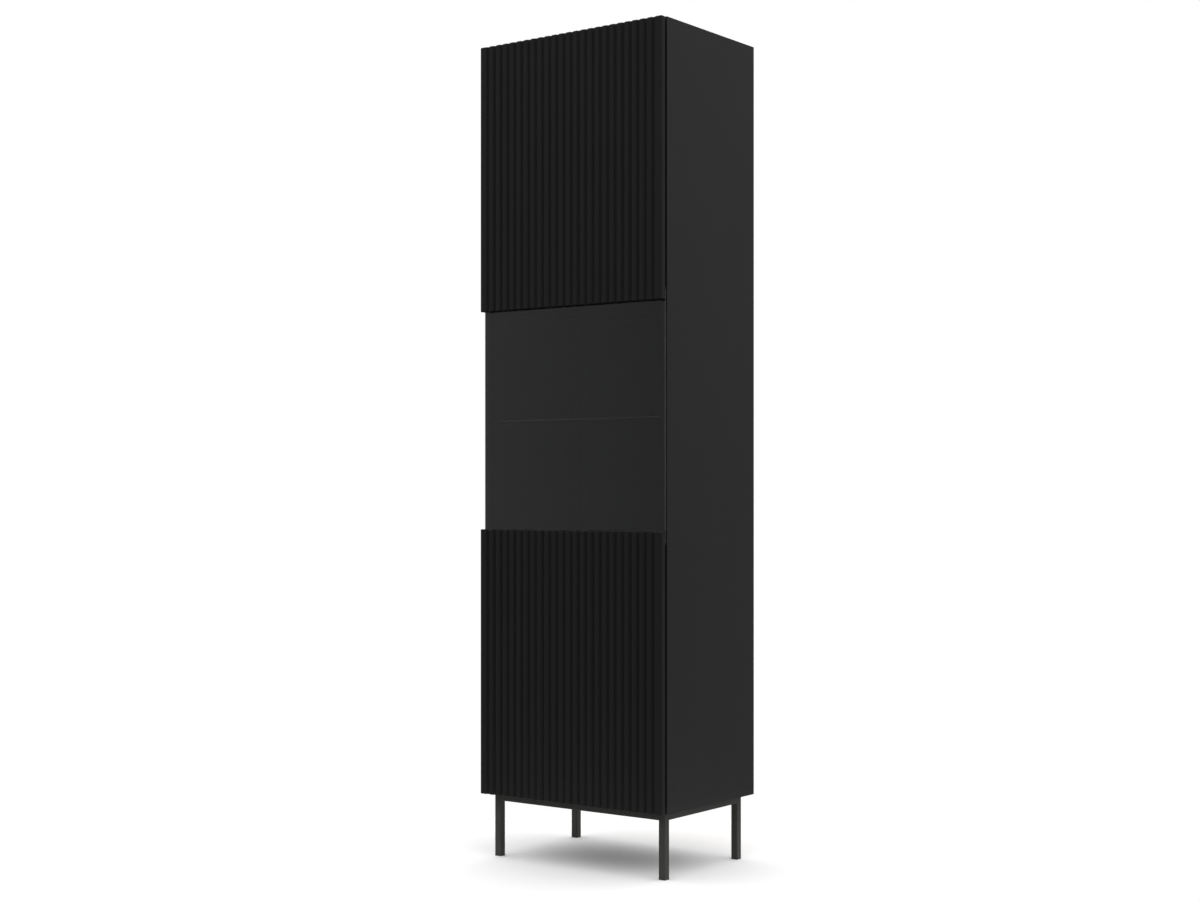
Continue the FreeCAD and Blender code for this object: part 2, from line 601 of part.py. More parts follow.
def back_nails():
    """Thin nails with flat heads all round the back, and along both dividers."""
    master = turned("back_nail", [
        ("0", NAIL_LENGTH), (NAIL_SHANK, NAIL_POINT), (NAIL_SHANK, NAIL_HEAD_UNDER),
        (NAIL_HEAD, NAIL_HEAD_UNDER), (NAIL_HEAD, "0"), ("0", "0")])
    outwards = towards(0, 1, 0)
    rear = calc(REAR)
    side = calc(HALF_INSIDE + " + Dim.rabbet / 2")
    low = calc(SIDE_FOOT + " - Dim.rabbet / 2")
    high = calc(TOP_UNDER + " + Dim.rabbet / 2")
    seam = calc(DIVIDER_LOW + " + Dim.board / 2")
    quarter = calc("Dim.board / 4")
    spots = []
    run = high - low - 2 * NAIL_MARGIN
    for step in range(NAILS_UP):
        z = low + NAIL_MARGIN + run * step / (NAILS_UP - 1)
        spots += [(-side, rear, z, outwards), (side, rear, z, outwards)]
    levels = (low, seam - quarter, seam + quarter, calc(DIVIDER_HIGH + " + Dim.board / 2"), high)
    for z in levels:
        spots += [(x, rear, z, outwards) for x in NAILS_ACROSS]
    group("back_panel_nails", master, spots)


BRACKET_SCREWS = (14, 30)       # screws of a wall bracket, forward of the back
BRACKET_SCREW_HOLE = "2.2"      # radius of the holes that they go through


def wall_bracket(name, sign):
    """An angle under the top panel, with a hole for a wall screw through the back."""
    label = "wall_bracket_" + name
    body = new_body(label, "%s * Dim.bracket_spot - Dim.bracket_width / 2" % sign,
                    BACK_FACE, TOP_UNDER)
    leg = "-Dim.bracket_leg"
    skin = "-Dim.bracket_thick"
    outline = new_sketch(body, "YZ_Plane", label + "_outline")
    polygon(outline, [(leg, "0"), (leg, skin), (skin, skin), (skin, leg), ("0", leg), ("0", "0")])
    pad(body, outline, "Dim.bracket_width")
    wall = new_sketch(body, "XZ_Plane", label + "_wall_hole")
    circle(wall, "Dim.bracket_width / 2", "-Dim.wall_hole_drop", "Dim.wall_hole_radius")
    pocket(body, wall, "2 * Dim.bracket_thick", backwards=True)
    top = new_sketch(body, "XY_Plane", label + "_top_holes")
    for forward in BRACKET_SCREWS:
        circle(top, "Dim.bracket_width / 2", "-%g" % forward, BRACKET_SCREW_HOLE)
    pocket(body, top, "2 * Dim.bracket_thick")
    return keep(body)


def wall_brackets():
    """Both wall brackets and the screws that hold them up into the top panel."""
    wall_bracket("left", "-1")
    wall_bracket("right", "1")
    master = screw("bracket_screw")
    z = calc(TOP_UNDER + " - Dim.bracket_thick")
    spots = []
    for side in (-1, 1):
        for forward in BRACKET_SCREWS:
            x = side * calc("Dim.bracket_spot")
            spots.append((x, calc(BACK_FACE) - forward, z, towards(0, 0, -1)))
    group("wall_bracket_screws", master, spots)


# ---------------------------------------------------------------- leg frame

TOUCH = 1e-6                    # two lengths closer than this are the same
GLIDE_PLUG = "14"               # how far a glide goes up inside its leg
GLIDE_PLAY = "0.1"              # air round it there
GLIDE_SHY = "0.2"               # how far its flange stands back from the leg's faces
TAB_HOLE = "2.4"                # radius of the screw hole in a tab


def tube(label, role, x, y, z, length, backwards=False):
    """A square tube along the normal of one origin plane, with rounded outer corners."""
    body = new_body(label, x, y, z)
    section = new_sketch(body, role, label + "_section")
    rectangle(section, "0", "0", "Dim.tube", "Dim.tube")
    inner = "Dim.tube - Dim.tube_wall"
    rectangle(section, "Dim.tube_wall", "Dim.tube_wall", inner, inner)
    raised = pad(body, section, length, backwards=backwards)
    size = calc("Dim.tube")
    span = calc(length)
    corners = []
    for number, edge in enumerate(raised.Shape.Edges, start=1):
        box = edge.BoundBox
        sides = sorted((box.XLength, box.YLength, box.ZLength))
        middle = (box.Center.x, box.Center.y, box.Center.z)
        outer = [value for value in middle if min(abs(value), abs(value - size)) < TOUCH]
        if abs(sides[2] - span) < TOUCH and sides[1] < TOUCH and len(outer) >= 2:
            corners.append("Edge%d" % number)
    fillet = body.newObject("PartDesign::Fillet", label + "_corners")
    fillet.Base = (raised, corners)
    fillet.setExpression("Radius", "Dim.tube_corner")
    doc.recompute()
    return keep(body)


def leg_frame():
    """Four legs, four rails between them, glides under the legs and tabs inside the rails."""
    stand = "(Dim.leg_height - Dim.glide_height)"
    legs = {"leg_front_left": (FRAME_LEFT, FRAME_FRONT), "leg_front_right": (FRAME_RIGHT, FRAME_FRONT),
            "leg_rear_left": (FRAME_LEFT, FRAME_REAR), "leg_rear_right": (FRAME_RIGHT, FRAME_REAR)}
    for label, (x, y) in legs.items():
        tube(label, "XY_Plane", x, y, "Dim.glide_height", stand)
    across = "(%s - %s - Dim.tube)" % (FRAME_RIGHT, FRAME_LEFT)
    along = "(%s - %s - Dim.tube)" % (FRAME_REAR, FRAME_FRONT)
    for name, y in (("front", FRAME_FRONT), ("rear", FRAME_REAR)):
        tube("rail_" + name, "YZ_Plane", FRAME_LEFT + " + Dim.tube", y, RING_UNDER, across)
    for name, x in (("left", FRAME_LEFT), ("right", FRAME_RIGHT)):
        tube("rail_" + name, "XZ_Plane", x, FRAME_FRONT + " + Dim.tube", RING_UNDER, along,
             backwards=True)
    foot_glides(legs)
    frame_tabs()


def foot_glides(legs):
    """Plastic plugs in the open ends of the legs, with a flange that stands on the floor."""
    master = new_body("foot_glide")
    flange = new_sketch(master, "XY_Plane", "glide_flange")
    half = "(Dim.tube / 2 - %s)" % GLIDE_SHY
    rectangle(flange, "-" + half, "-" + half, half, half)
    pad(master, flange, "Dim.glide_height")
    plug = new_sketch(master, "XY_Plane", "glide_plug", "Dim.glide_height")
    half = "(Dim.tube / 2 - Dim.tube_wall - %s)" % GLIDE_PLAY
    rectangle(plug, "-" + half, "-" + half, half, half)
    pad(master, plug, GLIDE_PLUG)
    upright = FreeCAD.Rotation()
    middle = calc("Dim.tube / 2")
    spots = [(calc(x) + middle, calc(y) + middle, 0, upright) for x, y in legs.values()]
    group("foot_glides", master, spots)


def frame_tabs():
    """Steel tabs inside the side rails and the screws that go up through them."""
    master = new_body("frame_tab")
    outline = new_sketch(master, "XY_Plane", "tab_outline")
    rectangle(outline, "0", "-Dim.tab_width / 2", "Dim.tab_reach", "Dim.tab_width / 2")
    pad(master, outline, "Dim.tab_thick")
    hole = new_sketch(master, "XY_Plane", "tab_hole")
    circle(hole, "Dim.tab_reach / 2", "0", TAB_HOLE)
    pocket(master, hole, backwards=True)
    inner = calc("%s - Dim.frame_side - Dim.tube" % HALF_WIDTH)
    under = calc("Dim.leg_height - Dim.tab_thick")
    reach = calc("Dim.tab_reach / 2")
    tabs = []
    screws = []
    for side in (-1, 1):
        facing = FreeCAD.Rotation(V(0, 0, 1), 0 if side < 0 else 180)
        for y in (-calc("Dim.tab_spot"), calc("Dim.tab_spot")):
            tabs.append((side * inner, y, under, facing))
            screws.append((side * (inner - reach), y, under, towards(0, 0, -1)))
    group("frame_tabs", master, tabs)
    group("frame_screws", screw("frame_screw"), screws)


# ---------------------------------------------------------------- door

def ribbed_panel(name, z):
    """Half of the door's face: a board with upright grooves milled into its front."""
    label = "door_panel_" + name
    body = new_body(label, "0", DOOR_FACE, z)
    outline = new_sketch(body, "XZ_Plane", label + "_outline")
    rectangle(outline, "-" + HALF_WIDTH, "0", HALF_WIDTH, "Dim.panel_height")
    pad(body, outline, "Dim.board", backwards=True)
    groove = new_sketch(body, "XY_Plane", label + "_groove")
    first = "(-Dim.groove_pitch * (Dim.groove_count - 1) / 2)"
    polygon(groove, [(first + " - Dim.groove_width / 2", "0"),
                     (first + " + Dim.groove_width / 2", "0"),
                     (first + " + Dim.groove_floor / 2", "Dim.groove_depth"),
                     (first + " - Dim.groove_floor / 2", "Dim.groove_depth")])
    cut = pocket(body, groove, backwards=True)
    repeat(body, cut, groove, "H_Axis", "Dim.groove_pitch * (Dim.groove_count - 1)",
           "Dim.groove_count")
    return keep(body)


def door_glass():
    """The smoked sheet behind both ribbed panels."""
    return keep(board("door_glass", "-%s + Dim.glass_side" % HALF_WIDTH, PANEL_BACK,
                      GLASS_SIGHT_LOW + " - Dim.glass_lap", "Dim.cab_width - 2 * Dim.glass_side",
                      "Dim.glass_thick",
                      "%s - %s + 2 * Dim.glass_lap" % (GLASS_SIGHT_HIGH, GLASS_SIGHT_LOW)))


RETAINER_SCREWS = (-210, -70, 70, 210)      # across the door
RETAINER_SCREW_DROP = 15                    # beyond the edge of the glass
RETAINER_FLANGE = "-28"                     # the flange on the panel ends here
RETAINER_LIP = "12"                         # and the flange over the glass here


def glass_retainer(name, z, turn):
    """A Z-shaped strip: one flange on the ribbed panel's back, the other over the glass."""
    label = "glass_retainer_" + name
    body = new_body(label, "0", PANEL_BACK, z, turn)
    skin = "Dim.retainer_thick"
    step = "Dim.glass_thick"
    over = "Dim.glass_thick + Dim.retainer_thick"
    outline = new_sketch(body, "YZ_Plane", label + "_outline")
    polygon(outline, [("0", RETAINER_FLANGE), (skin, RETAINER_FLANGE), (skin, "-" + skin),
                      (over, "-" + skin), (over, RETAINER_LIP), (step, RETAINER_LIP),
                      (step, "0"), ("0", "0")])
    pad(body, outline, "Dim.retainer_length", middle=True)
    holes = new_sketch(body, "XZ_Plane", label + "_holes")
    for across in RETAINER_SCREWS:
        circle(holes, "%d" % across, "-%d" % RETAINER_SCREW_DROP, "Dim.screw_hole_radius")
    pocket(body, holes, "2 * Dim.retainer_thick")
    return keep(body)


def glass_retainers():
    """Both strips and their screws."""
    low = "(%s - Dim.glass_lap)" % GLASS_SIGHT_LOW
    high = "(%s + Dim.glass_lap)" % GLASS_SIGHT_HIGH
    glass_retainer("lower", low, FreeCAD.Rotation())
    glass_retainer("upper", high, FreeCAD.Rotation(V(0, 1, 0), 180))
    master = screw("retainer_screw")
    y = calc(PANEL_BACK + " + Dim.retainer_thick")
    levels = (calc(low) - RETAINER_SCREW_DROP, calc(high) + RETAINER_SCREW_DROP)
    spots = [(x, y, z, towards(0, 1, 0)) for z in levels for x in RETAINER_SCREWS]
    group("retainer_screws", master, spots)


WEB_LEFT = "-0.7"           # the web that joins a knuckle to its leaf
WEB_RIGHT = "2.7"
WEB_INNER = "1.1"
LEAF_START = "2.6"          # leaves begin this far from the axis, clear of the other's knuckles
SIDE_LEAF_REACH = "31"      # how far the side leaf runs back along the inner face
DOOR_LEAF_REACH = "27"      # how far the door leaf runs across the panel's back
SIDE_LEAF_SCREWS = ((12, 12), (22, 32), (12, 52))    # back from the axis, up
DOOR_LEAF_SCREWS = ((20, 12), (10, 32), (20, 52))    # across from the axis, up
PIN_HEAD = "1.7"            # radius of the small heads on a hinge pin
PIN_HEAD_RIM = "0.7"        # height of such a head at its rim
PIN_HEAD_CROWN = "1"        # and at its middle


def knuckle(body, label, inner_y, outer_y, lift, length, count):
    """A knuckle and its web, repeated up the hinge, then bored through for the pin."""
    extent = "Dim.hinge_height - Dim.knuckle_length"
    web = new_sketch(body, "XY_Plane", label + "_web", lift)
    low, high = sorted((inner_y, outer_y), key=calc)
    rectangle(web, WEB_LEFT, low, WEB_RIGHT, high)
    raised = pad(body, web, length)
    if count > 1:
        repeat(body, raised, web, "N_Axis", extent, str(count))
    barrel = new_sketch(body, "XY_Plane", label + "_barrel", lift)
    circle(barrel, "0", "0", "Dim.knuckle_radius")
    raised = pad(body, barrel, length)
    if count > 1:
        repeat(body, raised, barrel, "N_Axis", extent, str(count))
    bore = new_sketch(body, "XY_Plane", label + "_bore")
    circle(bore, "0", "0", "Dim.knuckle_bore")
    pocket(body, bore, backwards=True)


def hinge_side_leaf(number, z):
    """The fixed leaf: over the side panel's front edge and back along its inner face."""
    label = "hinge_side_leaf_%d" % number
    body = new_body(label, HINGE_X, HINGE_Y, z)
    edge_face = "Dim.glass_thick + Dim.door_gap - Dim.hinge_axis_back"
    inner_face = "Dim.board - Dim.hinge_axis_in"
    outline = new_sketch(body, "XY_Plane", label + "_outline")
    polygon(outline, [(LEAF_START, edge_face + " - Dim.hinge_leaf"),
                      (inner_face + " + Dim.hinge_leaf", edge_face + " - Dim.hinge_leaf"),
                      (inner_face + " + Dim.hinge_leaf", SIDE_LEAF_REACH),
                      (inner_face, SIDE_LEAF_REACH),
                      (inner_face, edge_face), (LEAF_START, edge_face)])
    pad(body, outline, "Dim.hinge_height")
    knuckle(body, label, WEB_INNER, edge_face, "0", "Dim.knuckle_length", 2)
    holes = new_sketch(body, "YZ_Plane", label + "_holes", inner_face)
    for back, up in SIDE_LEAF_SCREWS:
        circle(holes, "%d" % back, "%d" % up, "Dim.screw_hole_radius")
    pocket(body, holes, "2 * Dim.hinge_leaf", backwards=True)
    return keep(body)


def hinge_door_leaf(number, z):
    """The moving leaf: flat on the ribbed panel's back, with the middle knuckle."""
    label = "hinge_door_leaf_%d" % number
    body = new_body(label, HINGE_X, HINGE_Y, z)
    outline = new_sketch(body, "XY_Plane", label + "_outline")
    rectangle(outline, LEAF_START, "-Dim.hinge_axis_back",
              DOOR_LEAF_REACH, "-Dim.hinge_axis_back + Dim.hinge_leaf")
    pad(body, outline, "Dim.hinge_height")
    lift = "Dim.knuckle_length + Dim.knuckle_gap"
    length = "Dim.hinge_height - 2 * Dim.knuckle_length - 2 * Dim.knuckle_gap"
    knuckle(body, label, "-" + WEB_INNER, "-Dim.hinge_axis_back", lift, length, 1)
    holes = new_sketch(body, "XZ_Plane", label + "_holes")
    for across, up in DOOR_LEAF_SCREWS:
        circle(holes, "%d" % across, "%d" % up, "Dim.screw_hole_radius")
    pocket(body, holes, backwards=True)
    return keep(body)


def hinge_pin(number, z):
    """The pin through the three knuckles, with a small head at each end."""
    radius = "Dim.hinge_pin_radius"
    top = "Dim.hinge_height"
    profile = [("0", "-" + PIN_HEAD_CROWN), (PIN_HEAD, "-" + PIN_HEAD_RIM), (PIN_HEAD, "0"),
               (radius, "0"), (radius, top), (PIN_HEAD, top),
               (PIN_HEAD, "%s + %s" % (top, PIN_HEAD_RIM)), ("0", "%s + %s" % (top, PIN_HEAD_CROWN))]
    return keep(turned("hinge_pin_%d" % number, profile, HINGE_X, HINGE_Y, z))


def hinges():
    """Four hinges with their screws."""
    side_screw = screw("hinge_side_screw")
    door_screw = screw("hinge_door_screw")
    side_face = calc("%s + Dim.board - Dim.hinge_axis_in + Dim.hinge_leaf" % HINGE_X)
    door_face = calc("%s + Dim.hinge_leaf" % PANEL_BACK)
    side_spots = []
    door_spots = []
    for number, z in HINGE_STANDS.items():
        hinge_side_leaf(number, z)
        hinge_door_leaf(number, z)
        hinge_pin(number, z)
        for back, up in SIDE_LEAF_SCREWS:
            side_spots.append((side_face, calc(HINGE_Y) + back, calc(z) + up, towards(1, 0, 0)))
        for across, up in DOOR_LEAF_SCREWS:
            door_spots.append((calc(HINGE_X) + across, door_face, calc(z) + up, towards(0, 1, 0)))
    group("hinge_side_screws", side_screw, side_spots)
    group("hinge_door_screws", door_screw, door_spots)


# ---------------------------------------------------------------- push latches

LATCH_EAR = (12, 42)        # the fixing ear, from the housing's front end to its back
LATCH_EAR_HALF = 20         # half the height of the ear
LATCH_EAR_THICK = 3
LATCH_SCREWS = (-14, 14)    # above and below the plunger
LATCH_SCREW_HOLE = "2"      # radius of the holes in the ear
LATCH_BLIND = 6             # plastic left behind the plunger's bore
PLUNGER_TAIL = "-42"        # the plunger's inner end
PLUNGER_TIP = "5"           # radius of its tip
PLUNGER_TIP_LENGTH = 2
PLUNGER_TIP_BREAK = 0.5     # broken edge of the tip
STRIKE_RADIUS = 8
STRIKE_BREAK = 0.3          # broken edge of a strike


def latch_housing(name, z):
    """A square plastic block with a blind bore for the plunger and an ear against the side."""
    label = "latch_housing_" + name
    body = new_body(label, LATCH_X, LATCH_Y, z)
    half = "Dim.latch_block / 2"
    block = new_sketch(body, "XZ_Plane", label + "_block")
    rectangle(block, "-" + half, "-" + half, half, half)
    pad(body, block, "Dim.latch_length", backwards=True)
    near, far = LATCH_EAR
    ear = new_sketch(body, "YZ_Plane", label + "_ear", "%s - %d" % (half, LATCH_EAR_THICK))
    rectangle(ear, "%d" % near, "-%d" % LATCH_EAR_HALF, "%d" % far, "%d" % LATCH_EAR_HALF)
    pad(body, ear, "%d" % LATCH_EAR_THICK)
    bore = new_sketch(body, "XZ_Plane", label + "_bore")
    circle(bore, "0", "0", "Dim.plunger_radius + Dim.plunger_play")
    pocket(body, bore, "Dim.latch_length - %d" % LATCH_BLIND)
    holes = new_sketch(body, "YZ_Plane", label + "_holes", "%s - %d" % (half, LATCH_EAR_THICK))
    for up in LATCH_SCREWS:
        circle(holes, "%d" % ((near + far) / 2), "%d" % up, LATCH_SCREW_HOLE)
    pocket(body, holes, "%d" % (2 * LATCH_EAR_THICK), backwards=True)
    return keep(body)


def latch_plunger(name, z):
    """The rod that pushes the door open, with a flat tip; its own Z points out of the cabinet."""
    radius = "Dim.plunger_radius"
    tip = "(%s - (%s + Dim.strike_thick + Dim.strike_air))" % (LATCH_Y, PANEL_BACK)
    shoulder = "%s - %g" % (tip, PLUNGER_TIP_LENGTH)
    profile = [("0", PLUNGER_TAIL), (radius, PLUNGER_TAIL), (radius, shoulder),
               (PLUNGER_TIP, shoulder), (PLUNGER_TIP, "%s - %g" % (tip, PLUNGER_TIP_BREAK)),
               ("%s - %g" % (PLUNGER_TIP, PLUNGER_TIP_BREAK), tip), ("0", tip)]
    return keep(turned("latch_plunger_" + name, profile, LATCH_X, LATCH_Y, z, towards(0, -1, 0)))


def latch_strike(name, z):
    """A glued steel disc on the ribbed panel's back."""
    rim = "%g" % STRIKE_RADIUS
    profile = [("0", "0"), (rim, "0"), (rim, "Dim.strike_thick - %g" % STRIKE_BREAK),
               ("%g" % (STRIKE_RADIUS - STRIKE_BREAK), "Dim.strike_thick"),
               ("0", "Dim.strike_thick")]
    return keep(turned("latch_strike_" + name, profile, LATCH_X, PANEL_BACK, z, towards(0, 1, 0)))


def latches():
    """Both push latches, their strikes and the screws in the housings' ears."""
    master = screw("latch_screw")
    x = calc("%s - %d" % (HALF_INSIDE, LATCH_EAR_THICK))
    y = calc(LATCH_Y) + sum(LATCH_EAR) / 2
    spots = []
    for name, z in LATCHES.items():
        latch_housing(name, z)
        latch_plunger(name, z)
        latch_strike(name, z)
        spots += [(x, y, calc(z) + up, towards(-1, 0, 0)) for up in LATCH_SCREWS]
    group("latch_screws", master, spots)


def door():
    """The whole door with its hinges and latches."""
    ribbed_panel("lower", "(Dim.leg_height + Dim.door_reveal)")
    ribbed_panel("upper", GLASS_SIGHT_HIGH)
    door_glass()
    glass_retainers()
    hinges()
    latches()


def check_and_write():
    """Stop on any failed object or empty shape, then write one file for each sub-part."""
    doc.recompute()
    for obj in doc.Objects:
        if "Invalid" in obj.State or "Error" in obj.State:
            raise RuntimeError("%s: %s" % (obj.Label, obj.State))
    for obj in subparts:
        if obj.Shape.isNull() or not obj.Shape.isValid() or not obj.Shape.Solids:
            raise RuntimeError("%s has no valid shape" % obj.Label)
    os.makedirs("parts", exist_ok=True)
    for obj in subparts:
        obj.Shape.exportStep("parts/%s.step" % obj.Label)
        print("%-24s %3d solid(s) %12.0f mm3" % (obj.Label, len(obj.Shape.Solids), obj.Shape.Volume))
    print("%d sub-parts" % len(subparts))


carcass()
shelf_pins()
joint_fittings()
bottom_screws()
back_nails()
wall_brackets()
leg_frame()
door()
check_and_write()
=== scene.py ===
import json
import math
import random

import bmesh
import bpy
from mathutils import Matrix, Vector


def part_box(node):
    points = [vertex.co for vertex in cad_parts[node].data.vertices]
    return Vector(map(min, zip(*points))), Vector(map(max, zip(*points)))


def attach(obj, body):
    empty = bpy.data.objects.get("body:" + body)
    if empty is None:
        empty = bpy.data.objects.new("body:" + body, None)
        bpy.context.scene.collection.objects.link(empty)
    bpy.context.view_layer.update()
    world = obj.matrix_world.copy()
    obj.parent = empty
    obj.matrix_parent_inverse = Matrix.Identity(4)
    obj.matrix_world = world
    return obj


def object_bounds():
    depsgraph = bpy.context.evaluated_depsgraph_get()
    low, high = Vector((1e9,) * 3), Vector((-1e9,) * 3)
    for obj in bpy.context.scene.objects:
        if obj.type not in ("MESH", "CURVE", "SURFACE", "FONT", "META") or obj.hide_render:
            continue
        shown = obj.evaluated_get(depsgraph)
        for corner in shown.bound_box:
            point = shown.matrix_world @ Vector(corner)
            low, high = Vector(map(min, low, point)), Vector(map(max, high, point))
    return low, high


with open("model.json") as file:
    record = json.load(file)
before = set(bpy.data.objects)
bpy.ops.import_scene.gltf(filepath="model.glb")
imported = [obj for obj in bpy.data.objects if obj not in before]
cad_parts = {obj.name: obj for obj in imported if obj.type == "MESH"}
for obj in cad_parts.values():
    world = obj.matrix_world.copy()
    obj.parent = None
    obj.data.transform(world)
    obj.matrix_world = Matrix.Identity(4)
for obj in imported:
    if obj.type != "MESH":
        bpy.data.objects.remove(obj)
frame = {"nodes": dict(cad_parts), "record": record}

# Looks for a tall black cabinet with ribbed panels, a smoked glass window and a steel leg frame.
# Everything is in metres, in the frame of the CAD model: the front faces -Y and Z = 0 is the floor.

cad_low, cad_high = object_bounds()
NODES = frame["nodes"]
MM = 0.001
random.seed(11)

# materials
NOISE_RANGE = (0.3, 0.7)        # nearly all of a noise's values lie in it
DOOR_CLEAR = 0.42               # share of light that the door's glass lets through, surfaces apart
SHELF_CLEAR = 0.75              # the same for the shelf's glass
SHELF_FROST = 0.9               # share of light that the shelf's ground edges scatter
SCREEN_RATE = 3900.0            # radians per metre of the mesh pattern pressed into hardboard
FLOOR_FADE = 0.38               # radius from which the floor fades out
FLOOR_RADIUS = 0.72

# edges of the CAD nodes
MERGE_DISTANCE = 0.01 * MM      # corners closer than this are one corner
FLAT_ANGLE = math.radians(1)    # faces that meet flatter than this become one face
SHARP_ANGLE = math.radians(25)  # edges sharper than this are rounded
EDGE_LOOKS = (                  # width of the rounding, its segments, and the nodes that have it
    (0.5 * MM, 2, ("bottom_panel", "shelf_lower", "shelf_upper")),
    (2.4 * MM, 4, ("door_panel_lower", "door_panel_upper")),
    (1.3 * MM, 1, ("door_glass", "glass_shelf")),
)

# weld beads
JOINT_BEAD = (3.2 * MM, 0.7 * MM, 9)    # width, height and ripples where two tubes meet
TAB_BEAD = (3.0 * MM, 1.4 * MM, 12)     # and where a tab meets its rail
TAB_BEAD_HALF = 13 * MM         # half the length of a tab's bead
TAB_BEAD_INSET = 15 * MM        # from the end of the row of tabs to the middle of the bead
WALL_INSET = 1 * MM             # a joint's bead stops this far from the corners of its tube
BEAD_ARC = 7                    # points across a bead
BEAD_RINGS = 6                  # rings of points in one ripple
BEAD_SINK = 0.1 * MM            # depth of a bead's foot in the steel
BEAD_RIPPLE = 0.14              # depth of the ripples, as a share of the bead's size
BEAD_UNEVEN = 0.02              # random share of its size on top of that
BEAD_END_RATE = 6               # each end rounds off over the bead's length divided by this
BEAD_END = 0.05                 # size of the first and last ring, as a share

# studio
CAMERA_PLACE = (2.7425, -3.7676, 0.8987)
CAMERA_AZIMUTH = 36.57
CAMERA_LENS = 56.6
CAMERA_SHIFT = 0.0361
FLOOR_CORNERS = 96
ZENITH = 1.66                   # radiance overhead
ZENITH_HEIGHTS = (0.1, 0.82)    # sines of the elevations over which the sky brightens to it
NADIR = 0.3                     # share of the radiance that is left straight below
NADIR_HEIGHTS = (-0.9, 0.0)     # sines of the elevations over which that share rises to 1
FRONT_EDGES = (10, 65)          # degrees from straight ahead of the door over which it brightens
FRONT_TO_SIDE = (0.05, 0.85)    # from this radiance to this
REAR_EDGES = (75, 125)          # degrees over which it dims again
REAR_SHARE = 0.6                # to this share


# ---------------------------------------------------------------- node helpers

class Nodes:
    """Short calls for the nodes of one tree. A source is a number, a colour or a socket."""

    def __init__(self, tree):
        self.tree = tree

    def node(self, kind, **settings):
        made = self.tree.nodes.new(kind)
        for key, value in settings.items():
            setattr(made, key, value)
        return made

    def feed(self, socket, source):
        if isinstance(source, (int, float)):
            socket.default_value = source
        elif isinstance(source, tuple):
            socket.default_value = (*source, 1.0)
        else:
            self.tree.links.new(source, socket)

    def spread(self, source, low, high, out_low=0.0, out_high=1.0):
        """Map a range of a value smoothly to another range, clamped."""
        made = self.node("ShaderNodeMapRange", interpolation_type="SMOOTHSTEP")
        keys = ("Value", "From Min", "From Max", "To Min", "To Max")
        for key, value in zip(keys, (source, low, high, out_low, out_high)):
            self.feed(made.inputs[key], value)
        return made.outputs["Result"]

    def maths(self, operation, *sources):
        made = self.node("ShaderNodeMath", operation=operation)
        for socket, source in zip(made.inputs, sources):
            self.feed(socket, source)
        return made.outputs["Value"]


class Paint(Nodes):
    """A material under construction: the nodes that most surfaces need."""

    def __init__(self, name):
        self.material = bpy.data.materials.new(name)
        self.material.use_nodes = True
        super().__init__(self.material.node_tree)
        self.shader = self.tree.nodes["Principled BSDF"]
        self.coords = self.node("ShaderNodeTexCoord")

    def set(self, **sockets):
        """Feed the shader's own sockets, named with _ for each space."""
        for key, source in sockets.items():
            self.feed(self.shader.inputs[key.replace("_", " ")], source)

    def place(self, stretch=(1, 1, 1)):
        """Object coordinates, in metres, stretched along the axes."""
        mapping = self.node("ShaderNodeMapping")
        mapping.inputs["Scale"].default_value = stretch
        self.feed(mapping.inputs["Vector"], self.coords.outputs["Object"])
        return mapping.outputs["Vector"]

    def noise(self, scale, detail=2.0, rough=0.5, stretch=(1, 1, 1)):
        """Noise with about this many blotches to the metre."""
        made = self.node("ShaderNodeTexNoise")
        self.feed(made.inputs["Scale"], scale)
        self.feed(made.inputs["Detail"], detail)
        self.feed(made.inputs["Roughness"], rough)
        self.feed(made.inputs["Vector"], self.place(stretch))
        return made.outputs["Fac"]

    def cells(self, scale, stretch=(1, 1, 1)):
        """Distance from the middle of the nearest of this many cells to the metre."""
        made = self.node("ShaderNodeTexVoronoi")
        self.feed(made.inputs["Scale"], scale)
        self.feed(made.inputs["Vector"], self.place(stretch))
        return made.outputs["Distance"]

    def blend(self, factor, first, second):
        """Mix two colours."""
        made = self.node("ShaderNodeMix", data_type="RGBA")
        for key, source in (("Factor", factor), ("A", first), ("B", second)):
            self.feed(made.inputs[key], source)
        return made.outputs["Result"]

    def bump(self, height, strength, distance):
        made = self.node("ShaderNodeBump")
        for key, source in (("Strength", strength), ("Distance", distance), ("Height", height)):
            self.feed(made.inputs[key], source)
        return made.outputs["Normal"]

    def part(self, vector, axis):
        """One component of a texture coordinate."""
        split = self.node("ShaderNodeSeparateXYZ")
        self.feed(split.inputs["Vector"], self.coords.outputs[vector])
        return split.outputs[axis]

    def facing(self, axis):
        """How squarely the surface faces along one of the piece's own axes, signed."""
        return self.part("Normal", axis)

    def along(self, axis):
        """Where a point is along one axis, in metres."""
        return self.part("Object", axis)

    def finish(self, color, rough=None, normal=None):
        for key, source in (("Base Color", color), ("Roughness", rough), ("Normal", normal)):
            if source is not None:
                self.feed(self.shader.inputs[key], source)
        return self.material


def shade(value, tint=(1.0, 1.0, 1.0)):
    """A near-neutral colour from one linear value."""
    return tuple(value * part for part in tint)


# ---------------------------------------------------------------- materials

